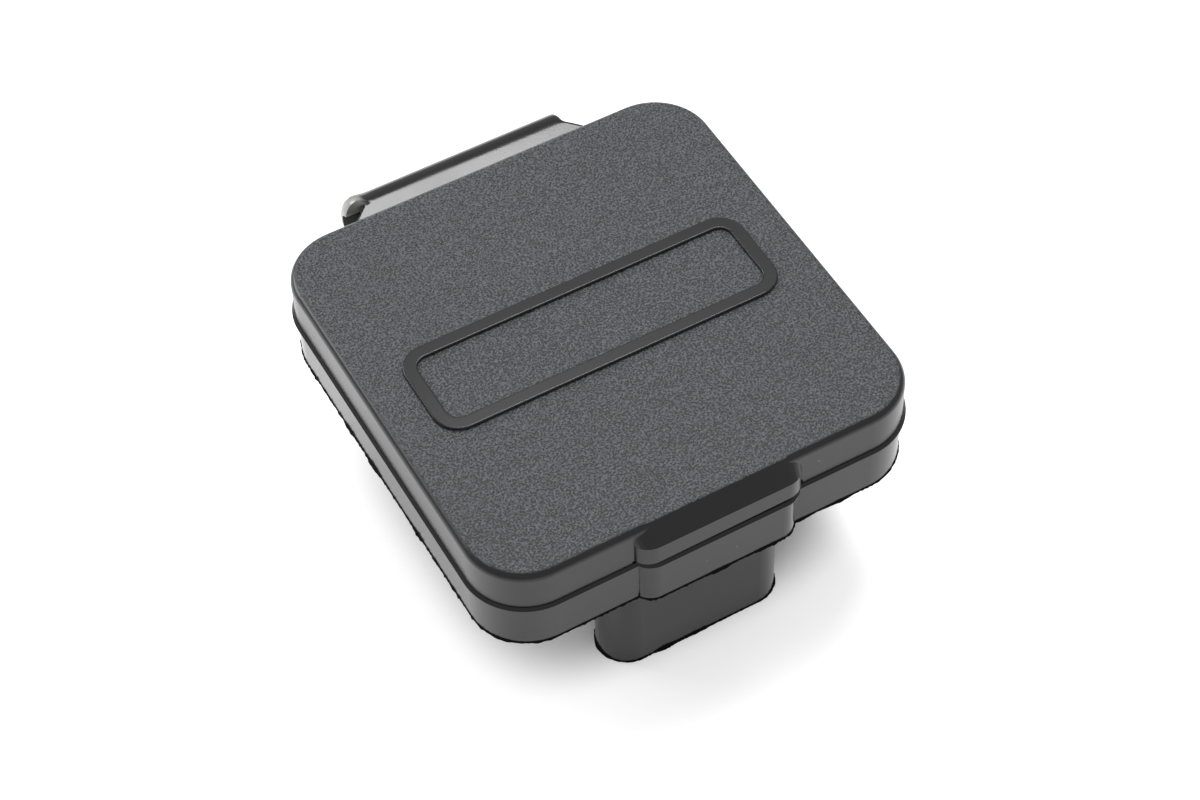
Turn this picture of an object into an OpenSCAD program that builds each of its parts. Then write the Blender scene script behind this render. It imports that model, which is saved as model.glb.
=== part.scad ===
// Moulded rubber cover for the mouth of a tow bar receiver. A square base frame seats on the
// receiver's collar and grips it with two tongues. A lid joined to it by a looped rubber strap
// closes the opening that the tow bar's shank goes through.
//
// The origin is on the receiver's axis at the tips of the tongues. +Z points out of the receiver,
// and the thumb tab is at -Y with the strap at +Y.

/* [Lid] */
// Distance that the lid reaches past the receiver's collar on its left and right
side_brim = 22.3; // [18:0.1:30]
// Distance that the lid reaches past the tongues at its front and back
tongue_brim = 7.4; // [6:0.1:14]
// Height of the lid's side
lid_h = 11.6; // [9:0.2:16]
// Radius of the lid's corners, seen from above
lid_corner_r = 15.5; // [8:0.5:20]
// Radius of the rounded edge round the lid's top
lid_edge_r = 2; // [0.6:0.1:2.4]
// Thickness of the lid's top
lid_skin_t = 4; // [3:0.1:5]
// Thickness of the lid's side wall
lid_wall_t = 3.6; // [2.6:0.1:5]
// Gap between the closed lid and the base frame
lid_gap = 0.3; // [0.2:0.05:0.6]

/* [Thumb tab] */
// Width of the tab on the lid
tab_w = 46.2; // [34:0.2:60]
// Distance that the tab stands out from the lid's front wall
tab_out = 3.2; // [2:0.1:5]
// Radius of the tab's front corners
tab_corner_r = 5.5; // [5:0.1:7]
// Depth of the tab's front edge below the lid's top
tab_drop = 5.3; // [2:0.1:7]
// Radius of the thumb scoop's ends where they meet the lid's wall
scoop_end_r = 5.3; // [4:0.1:8]
// Height of the finger gap under the tab, at its left end
tab_gap_left = 0.6; // [0:0.1:1.6]
// Height of the finger gap at its right end
tab_gap_right = 1.2; // [0:0.1:1.6]
// Distance that the finger gap reaches in from the tab's front face
tab_gap_in = 5; // [4:0.1:6.5]

/* [Raised panel outline] */
// Width of the raised outline on the lid's top
panel_w = 94; // [60:1:96]
// Depth of the raised outline
panel_d = 28; // [20:1:60]
// Outer corner radius of the raised outline
panel_corner_r = 7; // [5:0.5:9]
// Width of the raised outline's band
panel_band_w = 3.6; // [2:0.1:4.5]
// Height of the raised outline
panel_h = 0.9; // [0.5:0.1:1.5]
// Radius of the raised outline's rounded edges
panel_edge_r = 0.4; // [0.2:0.05:0.45]

/* [Base frame] */
// Height of the base frame, from its lower rim to its top
base_h = 14.7; // [13:0.1:20]
// Distance that the base frame's wall lies inside the lid's wall
base_inset = 0.3; // [0:0.05:1]
// Thickness of the deck under the lid
deck_t = 4.5; // [3:0.1:5]
// Thickness of the base frame's side wall
skirt_t = 3.4; // [2.4:0.1:3.6]
// Distance that the sealing lip stands out from the base frame's wall
lip_out = 1.1; // [0.8:0.1:2]
// Height of the sealing lip
lip_h = 1; // [0.8:0.1:2]
// Height of the upright edge of the sealing lip, below its slope
lip_edge_h = 0.3; // [0.2:0.1:0.6]
// Width of the tab on the base frame
base_tab_w = 43.8; // [34:0.2:46]
// Distance that the base frame's tab stands out from its wall
base_tab_out = 2.7; // [1.5:0.1:3.5]
// Radius of the base frame tab's front corners
base_tab_corner_r = 5; // [4:0.1:6]

/* [Shank opening] */
// Side of the square opening that the tow bar's shank goes through
shank_open = 52; // [42:0.5:56]
// Radius of the opening's corners
shank_open_r = 4.5; // [3.5:0.5:8]
// Distance that the lid's plug ring reaches down into the opening
plug_drop = 3.8; // [2:0.1:4.2]
// Gap between the plug ring and the opening, all round
plug_gap = 0.5; // [0.3:0.05:1]
// Thickness of the plug ring's wall
plug_wall_t = 3; // [2:0.1:3.4]

/* [Tongues] */
// Size of the receiver's collar, across the two faces that the tongues grip
collar_size = 72; // [64:0.5:76]
// Gap between the collar and each tongue
collar_gap = 0.3; // [0.1:0.05:0.6]
// Width of a tongue
tongue_w = 49.2; // [36:0.2:60]
// Thickness of a tongue
tongue_t = 15.8; // [10:0.2:16.4]
// Distance that the tongues reach below the base frame's rim
tongue_drop = 39.3; // [20:0.1:60]
// Radius of a tongue's upright edges
tongue_edge_r = 7.7; // [3:0.1:7.8]

/* [Hinge strap] */
// Width of the strap where it bends
strap_w = 58.4; // [40:0.2:66]
// Thickness of the strap where it bends
strap_t = 3; // [2:0.1:3.4]
// Thickness of the strap at its roots
strap_root_t = 1.2; // [0.9:0.1:1.9]
// Outer radius of the strap's loop
strap_loop_r = 6.2; // [5.4:0.1:6.6]
// Length of the strap's flat stretch behind the lid
strap_flat = 8.2; // [6:0.1:12]
// Distance that each side of the strap widens towards its root
strap_flare = 6.5; // [3:0.1:8]

/* [Hidden] */
$fn = 96;

rubber_black = "#3b3c3f";
rubber_grained = "#66676a";
overlap = 0.01;

// Size of the lid
lid_w = collar_size + 2 * side_brim;
lid_d = collar_size + 2 * (collar_gap + tongue_t + tongue_brim);

// Heights, from the tongue tips up
rim_z = tongue_drop;
base_top_z = rim_z + base_h;
deck_under_z = base_top_z - deck_t;
lid_z = base_top_z + lid_gap;

// Outline of the base frame, which follows the lid
base_w = lid_w - 2 * base_inset;
base_d = lid_d - 2 * base_inset;
base_corner_r = lid_corner_r - base_inset;
base_tab_front = base_d / 2 + base_tab_out;

lid_tab_front = lid_d / 2 + tab_out;
tab_rim_h = lid_h - tab_drop;
scoop_start = lid_d / 2 - lid_edge_r;

plug_size = shank_open - 2 * plug_gap;
plug_corner_r = shank_open_r - plug_gap;
plug_inner_size = plug_size - 2 * plug_wall_t;
plug_inner_r = max(plug_corner_r - plug_wall_t, 0.5);

tongue_inner_y = collar_size / 2 + collar_gap;
tongue_mid_y = tongue_inner_y + tongue_t / 2;

// The strap's loop is centred on the seam between the lid and the base frame
seam_z = (base_top_z + lid_z) / 2;
strap_bend_y = lid_d / 2 + strap_flat;
strap_inner_r = strap_loop_r - strap_t;

// Rectangle with rounded corners, centred
module rounded_rect(w, d, r) {
    square([w - 2 * r, d], center = true);
    square([w, d - 2 * r], center = true);
    for (sx = [-1, 1], sy = [-1, 1])
        translate([sx * (w / 2 - r), sy * (d / 2 - r)])
            circle(r);
}

// Plate with rounded corners, standing on z = 0
module plate(w, d, r, h) {
    linear_extrude(h)
        rounded_rect(w, d, r);
}

// Lengths of an edge section, swept along the four sides of a rounded rectangle and round its
// corners. The section's x is the distance out from the corner centres and its y is the height.
module swept_edge(w, d, r) {
    for (sx = [-1, 1], sy = [-1, 1])
        translate([sx * (w / 2 - r), sy * (d / 2 - r), 0])
            rotate_extrude()
                children();
    for (a = [0, 180]) {
        rotate([0, 0, a])
            translate([0, d / 2 - r, 0])
                rotate([90, 0, 90])
                    linear_extrude(w - 2 * r, center = true)
                        children();
        rotate([0, 0, a + 90])
            translate([0, w / 2 - r, 0])
                rotate([90, 0, 90])
                    linear_extrude(d - 2 * r, center = true)
                        children();
    }
}

// Section from a corner centre out to a wall whose top edge is rounded
module rounded_top_section(r, h, edge_r) {
    square([r, h - edge_r]);
    square([r - edge_r, h]);
    translate([r - edge_r, h - edge_r])
        circle(edge_r);
}

// Section of the sealing lip: an upright edge below, sloped in above
module lip_section(r) {
    polygon([
        [0, 0],
        [r, 0],
        [r, lip_edge_h],
        [r - (lip_h - lip_edge_h), lip_h],
        [0, lip_h]
    ]);
}

// Sealing lip round an outline, standing on z = 0
module lip_ring(w, d, r) {
    swept_edge(w, d, r)
        lip_section(r);
    translate([0, 0, lip_h / 2])
        cube([w - 2 * r, d - 2 * r, lip_h], center = true);
}

// Plan of a tab whose front face is at the distance front from the centre
module tab_plan(w, r, front) {
    tab_depth = 4 * r;
    translate([0, tab_depth / 2 - front])
        rounded_rect(w, tab_depth, r);
}

module lid_shell() {
    swept_edge(lid_w, lid_d, lid_corner_r)
        rounded_top_section(lid_corner_r, lid_h, lid_edge_r);
    translate([0, 0, lid_h / 2])
        cube([lid_w - 2 * lid_corner_r, lid_d - 2 * lid_corner_r, lid_h], center = true);
}

// The tab's plan, up to where the scoop starts on the lid's top
module tab_front_plan() {
    intersection() {
        tab_plan(tab_w, tab_corner_r, lid_tab_front);
        translate([0, -(lid_tab_front + scoop_start) / 2])
            square([tab_w, lid_tab_front - scoop_start], center = true);
    }
}

// Thumb scoop: slopes down from the lid's top to the tab's level rim, with rounded ends that fall
// away to the sides
module thumb_scoop() {
    $fn = 32;
    hull() {
        translate([0, 0, tab_rim_h - overlap])
            linear_extrude(overlap)
                tab_front_plan();
        translate([0, -scoop_start, 0])
            rotate([90, 0, 0])
                linear_extrude(lid_edge_r / 2)
                    intersection() {
                        rounded_rect(tab_w, 2 * lid_h, scoop_end_r);
                        translate([0, lid_h - tab_drop / 2])
                            square([tab_w, tab_drop], center = true);
                    }
    }
}

module thumb_tab() {
    linear_extrude(tab_rim_h)
        tab_front_plan();
    thumb_scoop();
}

// Section of the raised band: upright sides with rounded edges above. Its x runs out from the
// corner centres of the band's outline.
module band_section() {
    inner_x = panel_corner_r - panel_band_w;
    shoulder_h = panel_h - panel_edge_r + overlap;
    translate([inner_x, 0]) {
        square([panel_band_w, shoulder_h]);
        translate([panel_edge_r, 0])
            square([panel_band_w - 2 * panel_edge_r, panel_h + overlap]);
        for (x = [panel_edge_r, panel_band_w - panel_edge_r])
            translate([x, shoulder_h])
                circle(panel_edge_r);
    }
}

// Band swept along the panel's outline: a straight run on each side and a quarter turn at each
// corner
module raised_outline() {
    run_x = panel_w - 2 * panel_corner_r;
    run_y = panel_d - 2 * panel_corner_r;
    for (a = [0, 180])
        rotate([0, 0, a]) {
            translate([0, run_y / 2, 0])
                rotate([90, 0, 90])
                    linear_extrude(run_x, center = true)
                        band_section();
            translate([-run_x / 2, 0, 0])
                rotate([90, 0, 180])
                    linear_extrude(run_y, center = true)
                        band_section();
            translate([run_x / 2, run_y / 2, 0])
                rotate_extrude(angle = 90)
                    band_section();
            translate([-run_x / 2, run_y / 2, 0])
                rotate([0, 0, 90])
                    rotate_extrude(angle = 90)
                        band_section();
        }
}

module lid_pocket() {
    translate([0, 0, -overlap])
        plate(
            lid_w - 2 * lid_wall_t,
            lid_d - 2 * lid_wall_t,
            lid_corner_r - lid_wall_t,
            lid_h - lid_skin_t + overlap);
}

// Ring that plugs the shank opening when the lid is closed
module plug_ring() {
    translate([0, 0, -plug_drop])
        linear_extrude(plug_drop + lid_h - lid_skin_t + overlap)
            difference() {
                rounded_rect(plug_size, plug_size, plug_corner_r);
                rounded_rect(plug_inner_size, plug_inner_size, plug_inner_r);
            }
}

// Wedge-shaped step under the tab that a fingertip lifts the lid by
module finger_gap() {
    reach = tab_w / 2 + overlap;
    translate([0, tab_gap_in - lid_tab_front, 0])
        rotate([90, 0, 0])
            linear_extrude(tab_gap_in + overlap)
                polygon([
                    [-reach, -overlap],
                    [reach, -overlap],
                    [reach, tab_gap_right],
                    [-reach, tab_gap_left]
                ]);
}

module lid() {
    color(rubber_grained)
        translate([0, 0, lid_z]) {
            difference() {
                union() {
                    lid_shell();
                    thumb_tab();
                }
                lid_pocket();
                finger_gap();
            }
            plug_ring();
            translate([0, 0, lid_h - overlap])
                raised_outline();
        }
}

module base_plan() {
    rounded_rect(base_w, base_d, base_corner_r);
    tab_plan(base_tab_w, base_tab_corner_r, base_tab_front);
}

module sealing_lip() {
    lip_ring(base_w + 2 * lip_out, base_d + 2 * lip_out, base_corner_r + lip_out);
    tab_lip_r = base_tab_corner_r + lip_out;
    tab_lip_d = 4 * tab_lip_r;
    translate([0, tab_lip_d / 2 - base_tab_front - lip_out, 0])
        lip_ring(base_tab_w + 2 * lip_out, tab_lip_d, tab_lip_r);
}

// Hollow under the deck that takes the receiver's collar
module collar_pocket() {
    translate([0, 0, rim_z - overlap])
        plate(
            base_w - 2 * skirt_t,
            base_d - 2 * skirt_t,
            base_corner_r - skirt_t,
            base_h - deck_t + overlap);
}

module shank_opening() {
    translate([0, 0, deck_under_z - overlap])
        plate(shank_open, shank_open, shank_open_r, deck_t + 2 * overlap);
}

module tongue() {
    plate(tongue_w, tongue_t, tongue_edge_r, deck_under_z + overlap);
}

module base_frame() {
    color(rubber_black) {
        difference() {
            union() {
                translate([0, 0, rim_z])
                    linear_extrude(base_h)
                        base_plan();
                translate([0, 0, base_top_z - lip_h])
                    sealing_lip();
            }
            collar_pocket();
            shank_opening();
        }
        for (side = [-1, 1])
            translate([0, side * tongue_mid_y, 0])
                tongue();
    }
}

// Plan of a leg of the strap, which widens from the bend to its root
module strap_leg_plan(root_y) {
    flare_y = max(strap_bend_y - strap_flare, root_y);
    half = strap_w / 2;
    polygon([
        [-half, strap_bend_y + overlap],
        [-half, strap_bend_y],
        [-half - strap_flare, flare_y],
        [-half - strap_flare, root_y],
        [half + strap_flare, root_y],
        [half + strap_flare, flare_y],
        [half, strap_bend_y],
        [half, strap_bend_y + overlap]
    ]);
}

// Upper leg of the strap, which thins towards its root at root_y. It stands on the loop's inside.
module strap_leg(root_y) {
    intersection() {
        translate([0, 0, strap_inner_r])
            linear_extrude(strap_t)
                strap_leg_plan(root_y);
        rotate([90, 0, 90])
            linear_extrude(strap_w + 2 * strap_flare, center = true)
                polygon([
                    [root_y, strap_inner_r],
                    [strap_bend_y + overlap, strap_inner_r],
                    [strap_bend_y + overlap, strap_loop_r],
                    [strap_bend_y, strap_loop_r],
                    [root_y, strap_inner_r + strap_root_t]
                ]);
    }
}

module strap_loop() {
    translate([0, strap_bend_y, seam_z])
        rotate([90, 0, 90])
            linear_extrude(strap_w, center = true)
                intersection() {
                    difference() {
                        circle(strap_loop_r);
                        circle(strap_inner_r);
                    }
                    translate([0, -strap_loop_r])
                        square([strap_loop_r, 2 * strap_loop_r]);
                }
}

module hinge_strap() {
    color(rubber_black) {
        strap_loop();
        translate([0, 0, seam_z]) {
            strap_leg(lid_d / 2);
            mirror([0, 0, 1])
                strap_leg(base_d / 2);
        }
    }
}

base_frame();
lid();
hinge_strap();
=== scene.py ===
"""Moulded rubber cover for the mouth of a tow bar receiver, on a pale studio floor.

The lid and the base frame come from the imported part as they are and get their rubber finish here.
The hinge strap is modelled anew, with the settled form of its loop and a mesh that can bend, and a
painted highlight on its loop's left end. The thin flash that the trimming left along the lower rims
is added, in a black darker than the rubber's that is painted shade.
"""
import math

import bpy
from mathutils import Matrix, Vector, noise


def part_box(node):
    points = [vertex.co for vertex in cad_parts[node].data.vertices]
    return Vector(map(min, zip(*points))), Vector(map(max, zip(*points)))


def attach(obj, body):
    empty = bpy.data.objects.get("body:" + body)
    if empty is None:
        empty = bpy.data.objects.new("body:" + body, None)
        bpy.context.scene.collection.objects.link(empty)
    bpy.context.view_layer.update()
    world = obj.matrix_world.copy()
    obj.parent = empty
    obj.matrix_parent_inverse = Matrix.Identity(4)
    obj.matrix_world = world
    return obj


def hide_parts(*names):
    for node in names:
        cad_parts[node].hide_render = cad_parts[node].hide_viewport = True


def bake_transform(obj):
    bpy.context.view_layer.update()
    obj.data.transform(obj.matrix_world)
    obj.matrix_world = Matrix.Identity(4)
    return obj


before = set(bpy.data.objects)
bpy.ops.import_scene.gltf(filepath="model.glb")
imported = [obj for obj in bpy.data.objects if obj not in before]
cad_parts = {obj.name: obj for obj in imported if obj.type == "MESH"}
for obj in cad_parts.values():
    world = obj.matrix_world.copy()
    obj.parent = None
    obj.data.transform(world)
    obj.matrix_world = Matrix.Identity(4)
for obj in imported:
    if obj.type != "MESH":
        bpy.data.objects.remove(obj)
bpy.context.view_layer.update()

MM = 0.001

# Camera, fitted to the photo's outlines, in millimetres
CAMERA_AT = Vector((-203.9, -389.8, 589.0))
CAMERA_AIM = Vector((-10.2, -21.9, 65.9))
CAMERA_ROLL = math.radians(-2.1)
CAMERA_LENS = 84.9
CAMERA_SENSOR = 36

# Sizes that follow the part's source, in metres
PANEL_HEIGHT = 0.9 * MM
LIP_OUT = 1.1 * MM
BASE_TAB_WIDTH = 43.8 * MM
BASE_TAB_OUT = 2.7 * MM
BASE_TAB_RADIUS = 5 * MM
BASE_RADIUS = 15.2 * MM
RIM_HEIGHT = 39.3 * MM
TONGUE_WIDTH = 49.2 * MM
TONGUE_THICKNESS = 15.8 * MM
TONGUE_RADIUS = 7.7 * MM
TONGUE_INNER_FACE = 36.3 * MM
STRAP_WIDTH = 58.4 * MM
STRAP_FLARE = 6.5 * MM
STRAP_THICKNESS = 3.0 * MM
STRAP_ROOT_THICKNESS = 1.2 * MM
STRAP_LOOP_RADIUS = 6.2 * MM

# The strap's mesh: steps round the bend, cuts along its width, and its rounded edges
BEND_STEPS = 32
STRAP_CUTS = 96
STRAP_EDGE_RADIUS = 0.5 * MM
WELD_DISTANCE = 0.001 * MM

# How the strap's loop differs from a plain round bend, in metres
LOOP_LIFT = 0.9 * MM
LOOP_LEAN = math.radians(12.4)
LOOP_CLOSING = 2.6 * MM
MOUTH_CLOSING = 0.4
LEFT_SWELL = 1.5 * MM
LEFT_END = 5.0 * MM
LEFT_OVERHANG = 4.6 * MM
RIGHT_END = 4.0 * MM
CLOSING_ANGLE = math.radians(80)
LOOP_RUN_IN = 1.2 * MM

# Where the loop's left end gets its painted highlight, a pale patch standing for a reflection of
# light from the left: along it, into the loop, and round its back
PAINTED_HIGHLIGHT_ATTRIBUTE = "painted_highlight_share"
PALE_START = 28.2 * MM
PALE_FULL = 30.2 * MM
PALE_LEG_START = -1.5 * MM
PALE_LEG_FULL = -0.5 * MM
BACK_START = 0.25
BACK_FULL = 0.65

# Rubber: its colours, its refraction, and the sizes of its clouds, skin and grain
RUBBER_BLACK = "#161617"
RUBBER_GREY = "#202022"
# Pale grey of the painted highlight on the strap loop's left end
PAINTED_HIGHLIGHT_GREY = "#989895"
GRAIN_LOW = "#1a1b1c"
GRAIN_HIGH = "#585a5f"
# Black of the flash's break, darker than the rubber's: painted shade along the lower rims and round
# the tongues' feet
TORN_SHADE_LOW = "#050505"
TORN_SHADE_HIGH = "#121213"
RUBBER_IOR = 1.42
SMOOTH_CLOUD = 22 * MM
LID_CLOUD = 25 * MM
SKIN_SIZE = 0.6 * MM
SKIN_DEPTH = 0.01 * MM
GRAIN_SIZE = 0.5 * MM
GRAIN_DEPTH = 0.15 * MM
TORN_SIZE = 0.5 * MM
TORN_DEPTH = 0.08 * MM
TORN_SPECULAR = 0.15

# Distance from the level of the lid's top within which the grain is full, and past which it is gone
GRAIN_FULL = 0.02 * MM
GRAIN_GONE = 0.2 * MM

# The part of a noise's range that nearly all its values lie in
NOISE_LOW = 0.3
NOISE_HIGH = 0.7

# Roughness of the rubber's finishes
GLOSSY_SKIN = 0.15
CLOUDY_SKIN = 0.21
DULL_SKIN = 0.6
LID_SKIN = 0.27
GRAINED_SKIN = 0.5
TORN_SKIN = 0.9

# How much a face's normal points up where its skin starts to dull, and where it is fully dull
UP_START = 0.9
UP_FULL = 0.99

# Grit: the spacing of its places, the share of them left empty, and a speck's part of a spacing
GRIT = "#8d8b80"
GRIT_SPACING = 4 * MM
GRIT_EMPTY = 0.85
GRIT_PART = 0.045

# Moulding flash along the lower rims, in metres
FLASH_HEIGHT = 0.45 * MM
FLASH_SHEET = 0.15 * MM
FLASH_STEP = 0.4 * MM
FLASH_ROOT = 0.05 * MM
RIM_FLASH_OUT = 0.7 * MM
RIM_FLASH_HANG = 0.5 * MM
TONGUE_FLASH_OUT = 0.8 * MM
TEETH_SIZE = 0.9 * MM
STRETCH_SIZE = 7 * MM

# Shares of the flash's full width: what is there throughout, and what its teeth and its torn
# stretches add, the latter where their noise is over a level
EVEN_SHARE = 0.3
TEETH_SHARE = 0.5
STRETCH_SHARE = 0.9
STRETCH_LEVEL = 0.05

# Floor: its paper, how far from the middle the glow that lifts it starts and is full, and that lift;
# short of it the floor is left darker, painted shade round the object joining its rendered shadow
PAPER = "#f4f4f4"
FLOOR_SIZE = 6
SHADOW_NEAR = 40 * MM
SHADOW_FAR = 58 * MM
FLOOR_LIFT = 0.5

# Light: places and sizes in metres, powers in watts, and the room's level beside pure white
OVERHEAD_AT = (0.23, 0.21, 0.85)
OVERHEAD_SIZE = (0.42, 0.22)
OVERHEAD_POWER = 4.9
REAR_AT = (-0.5, 0.75, 0.5)
REAR_SIZE = (0.5, 0.4)
REAR_POWER = 4.5
ROOM_LEVEL = 0.6

lid_low, lid_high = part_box("lid")
base_low, base_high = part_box("base_frame")
strap_low, strap_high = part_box("hinge_strap")
lid_top = lid_high.z - PANEL_HEIGHT
seam_z = (strap_low.z + strap_high.z) / 2
bend_y = strap_high.y - STRAP_LOOP_RADIUS


def linear(hex_colour):
    """An sRGB hex colour as linear RGBA."""
    channels = [int(hex_colour[i:i + 2], 16) / 255 for i in (1, 3, 5)]
    return [c / 12.92 if c <= 0.04045 else ((c + 0.055) / 1.055) ** 2.4 for c in channels] + [1.0]


def add(tree, kind, sockets=None, **settings):
    """Adds a node, sets its settings, and fills its inputs with values or links."""
    node = tree.nodes.new(kind)
    for name, value in settings.items():
        setattr(node, name, value)
    for name, value in (sockets or {}).items():
        if isinstance(value, bpy.types.NodeSocket):
            tree.links.new(value, node.inputs[name])
        else:
            node.inputs[name].default_value = value
    return node


def math_node(tree, operation, first, second=0.0):
    """The result of one sum on two values or links."""
    return add(tree, "ShaderNodeMath", {0: first, 1: second}, operation=operation).outputs[0]


def mixed(tree, share, first, second):
    """A blend of two colours, with that share of the second one."""
    return add(tree, "ShaderNodeMix", {"Factor": share, "A": first, "B": second},
               data_type="RGBA").outputs[2]


def noise_node(tree, place, size, detail, roughness=0.5):
    """Noise whose patches are about that size."""
    return add(tree, "ShaderNodeTexNoise", {"Vector": place, "Scale": 1 / size, "Detail": detail,
                                            "Roughness": roughness}).outputs["Fac"]


def new_tree(name):
    material = bpy.data.materials.new(name)
    material.use_nodes = True
    material.node_tree.nodes.clear()
    return material, material.node_tree


def set_material(obj, material):
    obj.data.materials.clear()
    obj.data.materials.append(material)


# Materials

def dusted(tree, place, colour):
    """The colour with the odd speck of pale grit on it, under 0.4 mm across."""
    specks = add(tree, "ShaderNodeTexVoronoi", {"Vector": place, "Scale": 1 / GRIT_SPACING})
    close = math_node(tree, "LESS_THAN", specks.outputs["Distance"], GRIT_PART)
    choice = add(tree, "ShaderNodeSeparateColor", {"Color": specks.outputs["Color"]})
    few = math_node(tree, "GREATER_THAN", choice.outputs[0], GRIT_EMPTY)
    return mixed(tree, math_node(tree, "MULTIPLY", close, few), colour, linear(GRIT))


def cloudy(tree, clouds):
    """The rubber's near black, with faint clouds where it has bloomed."""
    return mixed(tree, clouds, linear(RUBBER_BLACK), linear(RUBBER_GREY))


def finish_rubber(tree, colour, roughness, relief, depth, **sockets):
    """The rubber's shader, with a relief of that depth in its skin."""
    bump = add(tree, "ShaderNodeBump", {"Height": relief, "Strength": 1.0, "Distance": depth})
    shader = add(tree, "ShaderNodeBsdfPrincipled", {
        "Base Color": colour, "Roughness": roughness, "IOR": RUBBER_IOR,
        "Normal": bump.outputs[0]} | sockets)
    output = add(tree, "ShaderNodeOutputMaterial")
    tree.links.new(shader.outputs[0], output.inputs["Surface"])


def smooth_rubber(name, with_painted_highlight=False, dull_top=False):
    """EPDM rubber, compression moulded against polished steel. It is near black, so what the eye
    sees is mostly the soft sheen of its skin, with faint clouds where it has bloomed.
    with_painted_highlight paints a pale grey on the front and top of the strap loop's left end: a
    painted highlight, standing for a reflection of light from the left. With dull_top, faces that
    point up have a duller skin."""
    material, tree = new_tree(name)
    coordinates = add(tree, "ShaderNodeTexCoord").outputs
    place = coordinates["Object"]
    clouds = noise_node(tree, place, SMOOTH_CLOUD, detail=4.0, roughness=0.6)
    colour = dusted(tree, place, cloudy(tree, clouds))
    if with_painted_highlight:
        # Painted highlight: the point attribute's share of pale grey on the loop's left end
        thickness = add(tree, "ShaderNodeAttribute", attribute_name=PAINTED_HIGHLIGHT_ATTRIBUTE).outputs["Fac"]
        colour = mixed(tree, thickness, colour, linear(PAINTED_HIGHLIGHT_GREY))
    gloss = add(tree, "ShaderNodeMapRange", {
        "Value": clouds, "From Min": NOISE_LOW, "From Max": NOISE_HIGH,
        "To Min": GLOSSY_SKIN, "To Max": CLOUDY_SKIN}).outputs[0]
    if dull_top:
        facing = add(tree, "ShaderNodeSeparateXYZ", {"Vector": coordinates["Normal"]}).outputs
        gloss = add(tree, "ShaderNodeMapRange", {
            "Value": facing["Z"], "From Min": UP_START, "From Max": UP_FULL, "To Min": gloss,
            "To Max": DULL_SKIN}).outputs[0]
    skin = noise_node(tree, place, SKIN_SIZE, detail=2.0)
    finish_rubber(tree, colour, gloss, skin, SKIN_DEPTH)
    return material


def grained_rubber():
    """The same rubber with a fine leather grain on the lid's flat top, from a spark-eroded mould.
    The lid's sides, its scoop and its raised outline keep the smooth skin."""
    material, tree = new_tree("grained_epdm_rubber")
    place = add(tree, "ShaderNodeTexCoord").outputs["Object"]
    height = add(tree, "ShaderNodeSeparateXYZ", {"Vector": place}).outputs["Z"]
    distance = math_node(tree, "ABSOLUTE", math_node(tree, "SUBTRACT", height, lid_top))
    on_top = add(tree, "ShaderNodeMapRange", {
        "Value": distance, "From Min": GRAIN_FULL, "From Max": GRAIN_GONE, "To Min": 1.0,
        "To Max": 0.0}).outputs[0]
    clouds = noise_node(tree, place, LID_CLOUD, detail=3.0, roughness=0.6)
    worms = noise_node(tree, place, GRAIN_SIZE, detail=1.5, roughness=0.5)
    ridges = add(tree, "ShaderNodeMapRange", {"Value": worms, "From Min": NOISE_LOW,
                                              "From Max": NOISE_HIGH},
                 interpolation_type="SMOOTHSTEP").outputs[0]
    pitted = mixed(tree, ridges, linear(GRAIN_LOW), linear(GRAIN_HIGH))
    colour = mixed(tree, on_top, dusted(tree, place, cloudy(tree, clouds)), pitted)
    gloss = add(tree, "ShaderNodeMapRange", {"Value": on_top, "To Min": LID_SKIN,
                                             "To Max": GRAINED_SKIN}).outputs[0]
    grain = math_node(tree, "MULTIPLY", ridges, on_top)
    finish_rubber(tree, colour, gloss, grain, GRAIN_DEPTH)
    return material


def torn_rubber_painted_shade():
    """The same rubber where the flash was torn off: a dull break with no skin, in a black darker than
    the rubber's that is painted shade along the rims and round the tongues' feet.
    """
    material, tree = new_tree("torn_epdm_rubber_painted_shade")
    place = add(tree, "ShaderNodeTexCoord").outputs["Object"]
    crumbs = noise_node(tree, place, TORN_SIZE, detail=3.0, roughness=0.6)
    tone = mixed(tree, crumbs, linear(TORN_SHADE_LOW), linear(TORN_SHADE_HIGH))
    finish_rubber(tree, tone, TORN_SKIN, crumbs, TORN_DEPTH, **{"Specular IOR Level": TORN_SPECULAR})
    return material


# Modelling helpers

def deselect_all():
    bpy.ops.object.select_all(action="DESELECT")


def pick_edges(obj, wanted):
    """In edit mode, selects the edges whose two ends pass wanted(a, b), and nothing else."""
    bpy.ops.mesh.select_mode(type="EDGE")
    bpy.ops.mesh.select_all(action="DESELECT")
    bpy.ops.object.mode_set(mode="OBJECT")
    points = [v.co.copy() for v in obj.data.vertices]
    for edge in obj.data.edges:
        edge.select = wanted(*(points[i] for i in edge.vertices))
    bpy.ops.object.mode_set(mode="EDIT")


def apply_modifier(obj, name, kind, **settings):
    modifier = obj.modifiers.new(name, kind)
    for key, value in settings.items():
        setattr(modifier, key, value)
    bpy.context.view_layer.objects.active = obj
    bpy.ops.object.modifier_apply(modifier=name)


def finish_piece(obj, angle=35):
    """Puts the piece's place into its mesh and smooths its shading."""
    deselect_all()
    obj.select_set(True)
    bpy.context.view_layer.objects.active = obj
    bpy.ops.object.transform_apply(location=True, rotation=True, scale=True)
    bpy.ops.object.shade_smooth_by_angle(angle=math.radians(angle))


# Hinge strap

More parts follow.
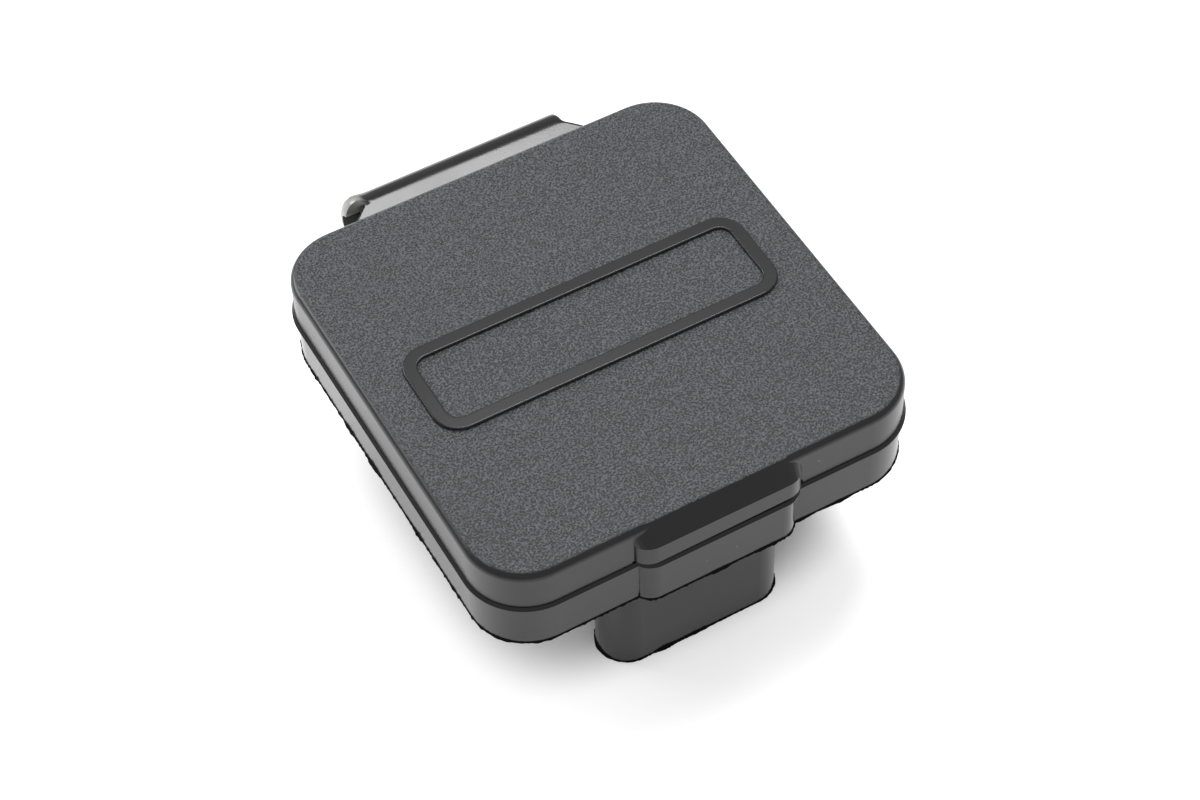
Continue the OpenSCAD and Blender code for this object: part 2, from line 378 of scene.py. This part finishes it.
def strap_leg(turn):
    """From the selected end of the loop, draws the leg out to the walls: it widens and thins
    towards its root. turn is 1 for the upper leg and -1 for the lower one."""
    length = bend_y - (lid_high.y if turn > 0 else base_high.y)
    inner_z = seam_z + turn * (STRAP_LOOP_RADIUS - STRAP_THICKNESS)
    slope = (STRAP_THICKNESS - STRAP_ROOT_THICKNESS) / length
    before = 0.0
    for after in (STRAP_FLARE / 12, STRAP_FLARE / 3, STRAP_FLARE, length):
        half_before, half_after = (STRAP_WIDTH / 2 + min(d, STRAP_FLARE) for d in (before, after))
        thick_before, thick_after = (STRAP_THICKNESS - slope * d for d in (before, after))
        bpy.ops.mesh.extrude_region_move(TRANSFORM_OT_translate={"value": (0, before - after, 0)})
        bpy.ops.transform.resize(value=(half_after / half_before, 1, thick_after / thick_before),
                                 center_override=(0, bend_y - after, inner_z))
        before = after
    bpy.ops.mesh.edge_face_add()


def smooth_step(value, start, end):
    """0 before start, 1 past end, and an even rise between them."""
    part = min(1.0, max(0.0, (value - start) / (end - start)))
    return part * part * (3 - 2 * part)


def settle_loop(strap):
    """Gives the loop its settled form: it stands higher over the upper leg, whose slope runs on
    into it, and its two ends close in, the left one in a thick rounded mouth beyond the leg."""
    half = STRAP_WIDTH / 2
    leg_length = bend_y - lid_high.y
    for vertex in strap.data.vertices:
        point = vertex.co
        leg_y = min(0.0, point.y - bend_y)
        arm_y, arm_z = point.y - bend_y - leg_y, point.z - seam_z
        radius, angle = math.hypot(arm_y, arm_z), math.atan2(arm_y, arm_z)
        lean = LOOP_LEAN * (1 - angle / math.pi) * (1 + leg_y / leg_length)
        on_left = point.x < 0
        length = LEFT_END if on_left else RIGHT_END
        end = min(1.0, max(0.0, (abs(point.x) - half + length) / length))
        closing = CLOSING_ANGLE * end ** 5
        in_loop = smooth_step(point.y, bend_y, bend_y + LOOP_RUN_IN)
        outer = smooth_step(radius, STRAP_LOOP_RADIUS - STRAP_THICKNESS, STRAP_LOOP_RADIUS)
        depth = LOOP_CLOSING * (MOUTH_CLOSING + (1 - MOUTH_CLOSING) * outer)
        radius -= depth * (1 - math.cos(closing)) * in_loop
        rise = LOOP_LIFT * (1 + math.cos(angle)) / 2
        if on_left:
            overhang = LEFT_OVERHANG * (0.5 * end + 0.5 * math.sin(closing))
            point.x -= overhang * in_loop
            swell = LEFT_SWELL * math.sin(math.pi * end ** 3)
            rise += swell * in_loop * max(0.0, math.cos(angle))
        point.y = bend_y + leg_y + radius * math.sin(angle - lean)
        point.z = seam_z + radius * math.cos(angle - lean) + rise


def mark_painted_highlight(strap):
    """Keeps on each point how strong the painted highlight is there: a pale patch standing for a
    reflection of light from the left. It lies on the front and the top of the loop's left end, and
    goes with the points when the strap bends."""
    painted_highlight_share = strap.data.attributes.new(PAINTED_HIGHLIGHT_ATTRIBUTE, "FLOAT", "POINT")
    for vertex, value in zip(strap.data.vertices, painted_highlight_share.data):
        at_left_end = smooth_step(-vertex.co.x, PALE_START, PALE_FULL)
        in_loop = smooth_step(vertex.co.y, bend_y + PALE_LEG_START, bend_y + PALE_LEG_FULL)
        behind = smooth_step(vertex.normal.y, BACK_START, BACK_FULL)
        value.value = at_left_end * in_loop * (1 - behind)


def hinge_strap():
    """Strap moulded as a loop: two legs that leave the walls of the lid and the base frame, and a
    half round bend between them."""
    deselect_all()
    inner_r = STRAP_LOOP_RADIUS - STRAP_THICKNESS
    middle_z = seam_z + inner_r + STRAP_THICKNESS / 2
    bpy.ops.mesh.primitive_plane_add(size=1, location=(0, bend_y, middle_z),
                                     rotation=(math.radians(90), 0, 0))
    strap = bpy.context.object
    strap.name = "hinge_strap_loop"
    strap.scale = (STRAP_WIDTH, STRAP_THICKNESS, 1)
    bpy.ops.object.transform_apply(location=True, rotation=True, scale=True)
    bpy.ops.object.mode_set(mode="EDIT")
    bpy.ops.mesh.select_all(action="SELECT")
    bpy.ops.mesh.delete(type="ONLY_FACE")

    def at_bend(side):
        return lambda a, b: all(abs(p.y - bend_y) < 0.01 * MM and (p.z - seam_z) * side > 0
                                for p in (a, b))

    pick_edges(strap, at_bend(1))
    bpy.ops.mesh.spin(steps=BEND_STEPS, angle=math.radians(180),
                      center=(0, bend_y, seam_z), axis=(1, 0, 0))
    pick_edges(strap, at_bend(1))
    strap_leg(1)
    pick_edges(strap, at_bend(-1))
    strap_leg(-1)
    bpy.ops.mesh.select_all(action="SELECT")
    bpy.ops.mesh.remove_doubles(threshold=WELD_DISTANCE)
    bpy.ops.mesh.normals_make_consistent(inside=False)
    bpy.ops.object.mode_set(mode="OBJECT")
    apply_modifier(strap, "rounded_edges", "BEVEL", width=STRAP_EDGE_RADIUS, segments=3,
                   limit_method="ANGLE", angle_limit=math.radians(50))
    bpy.ops.object.mode_set(mode="EDIT")
    pick_edges(strap, lambda a, b: abs(a.x - b.x) > STRAP_WIDTH / 2)
    bpy.ops.mesh.subdivide(number_cuts=STRAP_CUTS)
    bpy.ops.object.mode_set(mode="OBJECT")
    settle_loop(strap)
    finish_piece(strap)
    return strap


# Moulding flash

def rounded_plate(name, low, high, radius):
    """A plate between two corners, with its four upright edges rounded."""
    deselect_all()
    bpy.ops.mesh.primitive_cube_add(size=1, location=(low + high) / 2)
    plate = bpy.context.object
    plate.name = name
    plate.scale = high - low
    bpy.ops.object.transform_apply(location=True, rotation=True, scale=True)
    bpy.ops.object.mode_set(mode="EDIT")
    pick_edges(plate, lambda a, b: abs(a.z - b.z) > (high.z - low.z) / 2)
    bpy.ops.mesh.bevel(offset=radius, offset_type="OFFSET", segments=16, affect="EDGES")
    bpy.ops.object.mode_set(mode="OBJECT")
    return plate


def ragged(point):
    """The share of its full width that the flash has at a point: a thin line with torn
    stretches."""
    teeth = TEETH_SHARE * abs(noise.noise(point / TEETH_SIZE))
    stretches = STRETCH_SHARE * max(0.0, noise.noise(point / STRETCH_SIZE) - STRETCH_LEVEL)
    return min(1.0, EVEN_SHARE + teeth + stretches)


def flash(plate, most, hang):
    """Turns the plate's side into a thin torn fin along its lower edge: up to most wide, and
    hanging by up to hang below the rim."""
    low_z = min(v.co.z for v in plate.data.vertices)
    top_z = low_z + FLASH_HEIGHT
    bpy.context.view_layer.objects.active = plate
    bpy.ops.object.mode_set(mode="EDIT")
    longest = max(plate.dimensions.x, plate.dimensions.y)
    for _ in range(math.ceil(math.log2(longest / FLASH_STEP))):
        pick_edges(plate, lambda a, b: abs(a.z - b.z) < FLASH_HEIGHT / 2
                   and (a - b).length > 2 * FLASH_STEP)
        bpy.ops.mesh.subdivide(number_cuts=1)
    bpy.ops.mesh.select_mode(type="FACE")
    bpy.ops.mesh.select_all(action="DESELECT")
    bpy.ops.object.mode_set(mode="OBJECT")
    for face in plate.data.polygons:
        face.select = abs(face.normal.z) > 0.5
    bpy.ops.object.mode_set(mode="EDIT")
    bpy.ops.mesh.delete(type="FACE")
    bpy.ops.object.mode_set(mode="OBJECT")
    outward = [v.normal.copy() for v in plate.data.vertices]
    for vertex, normal in zip(plate.data.vertices, outward):
        if vertex.co.z < (low_z + top_z) / 2:
            reach = ragged(vertex.co)
            vertex.co += normal * most * reach
            vertex.co.z -= hang * reach
        else:
            vertex.co -= normal * FLASH_ROOT
    apply_modifier(plate, "sheet", "SOLIDIFY", thickness=FLASH_SHEET, offset=-1)
    finish_piece(plate, 60)
    return plate


def rim_flash():
    """Flash along the base frame's lower rim and round its tab."""
    low, high = RIM_HEIGHT, RIM_HEIGHT + FLASH_HEIGHT
    half_w = base_high.x - LIP_OUT
    half_d = base_high.y - LIP_OUT
    rim = rounded_plate("rim_flash", Vector((-half_w, -half_d, low)),
                        Vector((half_w, half_d, high)), BASE_RADIUS)
    tab_front = -half_d - BASE_TAB_OUT
    tab = rounded_plate("rim_flash_tab", Vector((-BASE_TAB_WIDTH / 2, tab_front, low)),
                        Vector((BASE_TAB_WIDTH / 2, tab_front + 4 * BASE_TAB_RADIUS, high)),
                        BASE_TAB_RADIUS)
    apply_modifier(rim, "tab", "BOOLEAN", operation="UNION", solver="EXACT", object=tab)
    bpy.data.objects.remove(tab)
    return flash(rim, RIM_FLASH_OUT, RIM_FLASH_HANG)


def tongue_flash(name, side):
    """Flash round a tongue's tip."""
    near_y, far_y = sorted((side * TONGUE_INNER_FACE,
                            side * (TONGUE_INNER_FACE + TONGUE_THICKNESS)))
    low = Vector((-TONGUE_WIDTH / 2, near_y, FLASH_SHEET))
    high = Vector((TONGUE_WIDTH / 2, far_y, FLASH_SHEET + FLASH_HEIGHT))
    return flash(rounded_plate(name, low, high, TONGUE_RADIUS), TONGUE_FLASH_OUT, 0)


# Studio

def seen_directly(tree):
    """1 for what the camera sees straight, in a mirror or through glass, and 0 for light."""
    path = add(tree, "ShaderNodeLightPath").outputs
    straight = math_node(tree, "MAXIMUM", path["Is Camera Ray"], path["Is Glossy Ray"])
    return math_node(tree, "MAXIMUM", straight, path["Is Transmission Ray"])


def studio_floor():
    """Matt white paper, lifted to pure white by a glow that seen rays get, past a distance from the
    middle. The glow is held back near the middle, so the floor round the object stays darker: painted
    shade joining the object's rendered shadow.
    """
    material, tree = new_tree("white_paper_sweep")
    paper = add(tree, "ShaderNodeBsdfDiffuse", {"Color": linear(PAPER)})
    place = add(tree, "ShaderNodeTexCoord").outputs["Object"]
    squares = add(tree, "ShaderNodeVectorMath", {0: place, 1: place}, operation="MULTIPLY")
    spread = add(tree, "ShaderNodeVectorMath", {0: squares.outputs[0]}, operation="LENGTH")
    reach = math_node(tree, "SQRT", spread.outputs["Value"])
    # The glow fades out towards the middle: the darker floor round the object is painted shade there
    fade = add(tree, "ShaderNodeMapRange", {"Value": reach, "From Min": SHADOW_NEAR,
                                            "From Max": SHADOW_FAR, "To Max": FLOOR_LIFT},
               interpolation_type="SMOOTHSTEP")
    level = math_node(tree, "MULTIPLY", seen_directly(tree), fade.outputs[0])
    lift = add(tree, "ShaderNodeEmission", {"Color": (1, 1, 1, 1), "Strength": level})
    lit = add(tree, "ShaderNodeAddShader", {0: paper.outputs[0], 1: lift.outputs[0]})
    output = add(tree, "ShaderNodeOutputMaterial")
    tree.links.new(lit.outputs[0], output.inputs["Surface"])
    deselect_all()
    bpy.ops.mesh.primitive_plane_add(size=FLOOR_SIZE)
    floor = bpy.context.object
    floor.name = "studio_floor"
    set_material(floor, material)


def softbox(name, place, size, power, aim):
    bpy.ops.object.light_add(type="AREA", location=Vector(place))
    lamp = bpy.context.object
    lamp.name = name
    lamp.data.shape = "RECTANGLE"
    lamp.data.size, lamp.data.size_y = size
    lamp.data.energy = power
    lamp.rotation_euler = (Vector(place) - Vector(aim)).to_track_quat("Z", "Y").to_euler()


def studio_light():
    """One softbox overhead and one behind the object's left, in an even, pale room. The camera
    itself sees the room as white."""
    middle = (0, 0, lid_top)
    softbox("overhead_softbox", OVERHEAD_AT, OVERHEAD_SIZE, OVERHEAD_POWER, middle)
    softbox("rear_softbox", REAR_AT, REAR_SIZE, REAR_POWER, middle)
    world = bpy.data.worlds.new("studio")
    world.use_nodes = True
    bpy.context.scene.world = world
    tree = world.node_tree
    tree.nodes.clear()
    strength = add(tree, "ShaderNodeMapRange", {
        "Value": add(tree, "ShaderNodeLightPath").outputs["Is Camera Ray"],
        "To Min": ROOM_LEVEL, "To Max": 1.0})
    sky = add(tree, "ShaderNodeBackground", {"Color": (1, 1, 1, 1),
                                             "Strength": strength.outputs[0]})
    output = add(tree, "ShaderNodeOutputWorld")
    tree.links.new(sky.outputs[0], output.inputs["Surface"])


def camera():
    data = bpy.data.cameras.new("photo_view")
    data.lens = CAMERA_LENS
    data.sensor_width = CAMERA_SENSOR
    obj = bpy.data.objects.new("photo_view", data)
    bpy.context.scene.collection.objects.link(obj)
    turn = (CAMERA_AT - CAMERA_AIM).to_track_quat("Z", "Y").to_matrix().to_4x4()
    roll = Matrix.Rotation(CAMERA_ROLL, 4, "Z")
    obj.matrix_world = Matrix.Translation(CAMERA_AT * MM) @ turn @ roll
    bpy.context.scene.camera = obj


camera()
studio_light()
studio_floor()

set_material(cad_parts["base_frame"], smooth_rubber("moulded_epdm_rubber", dull_top=True))
set_material(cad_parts["lid"], grained_rubber())

strap = hinge_strap()
# Painted highlight on the strap loop's left end, kept on its points
mark_painted_highlight(strap)
set_material(strap, smooth_rubber("moulded_epdm_rubber_strap", with_painted_highlight=True))
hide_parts("hinge_strap")
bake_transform(strap)

# The flash gets the torn rubber, whose darker black is painted shade
torn = torn_rubber_painted_shade()
for piece in (rim_flash(), tongue_flash("front_tongue_flash", -1),
              tongue_flash("rear_tongue_flash", 1)):
    set_material(piece, torn)
    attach(piece, "base")

bpy.context.scene.view_settings.view_transform = "Standard"
